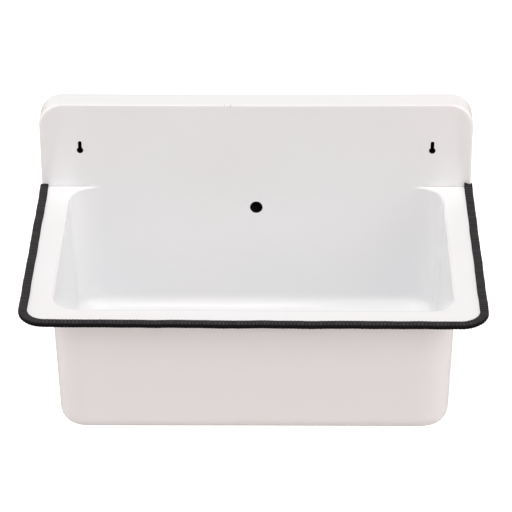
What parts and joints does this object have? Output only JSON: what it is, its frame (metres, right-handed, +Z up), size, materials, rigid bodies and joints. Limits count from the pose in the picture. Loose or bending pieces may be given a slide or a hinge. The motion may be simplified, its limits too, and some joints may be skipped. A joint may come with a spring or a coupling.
{
  "type": "bucket sink",
  "caption": "Wall-hung enamelled steel bucket sink with a deep basin, splashback, black rim edging, overflow hole, hanging keyholes and a strainer waste with a lift-out stopper.",
  "frame": {"origin": "midway between the round entries of the two hanging keyholes, on the splashback's front face", "axes": "+X to the user's right, +Y towards the wall, +Z up"},
  "size_m": [0.5114, 0.3461, 0.3196],
  "materials": {
    "white_enamel": "glossy white vitreous enamel on steel",
    "ground_coat_enamel": "blue-black ground coat enamel on steel",
    "black_edging": "ribbed black soft edging",
    "clip_steel": "bare spring steel strip",
    "chromed_brass": "chrome plate on brass",
    "stainless": "brushed stainless steel",
    "black_rubber": "matt black rubber",
    "white_plastic": "matt white plastic",
    "bare_brass": "turned brass",
    "plug_rubber": "moulded black rubber"
  },
  "bodies": {
    "sink": {"sink_shell": "white_enamel", "overflow_spigot": "ground_coat_enamel", "rim_trim": "black_edging", "rim_trim_end_piece": "black_edging", "rim_trim_core": "clip_steel", "end_piece_core": "clip_steel", "strainer_body": "chromed_brass", "strainer_grid": "stainless", "grid_screw": "stainless", "flange_gasket": "black_rubber", "basin_gasket": "black_rubber", "friction_washer": "white_plastic", "lock_nut": "bare_brass", "tailpiece_washer": "black_rubber", "tailpiece": "chromed_brass", "tailpiece_nut": "chromed_brass"},
    "stopper": {"stopper_plug": "plug_rubber", "stopper_cover": "stainless", "stopper_eye": "chromed_brass", "stopper_nut": "bare_brass"},
    "pull_ring": {"stopper_ring": "stainless"}
  },
  "joints": [
    {"name": "stopper_lift", "type": "slide", "parent": "sink", "child": "stopper", "axis": [0, 0, 1], "range_m": [0, 0.24]},
    {"name": "pull_ring_swing", "type": "hinge", "parent": "stopper", "child": "pull_ring", "pos_m": [0, -0.14259, -0.1977], "axis": [-1, 0, 0], "range_deg": [0, 161]}
  ]
}
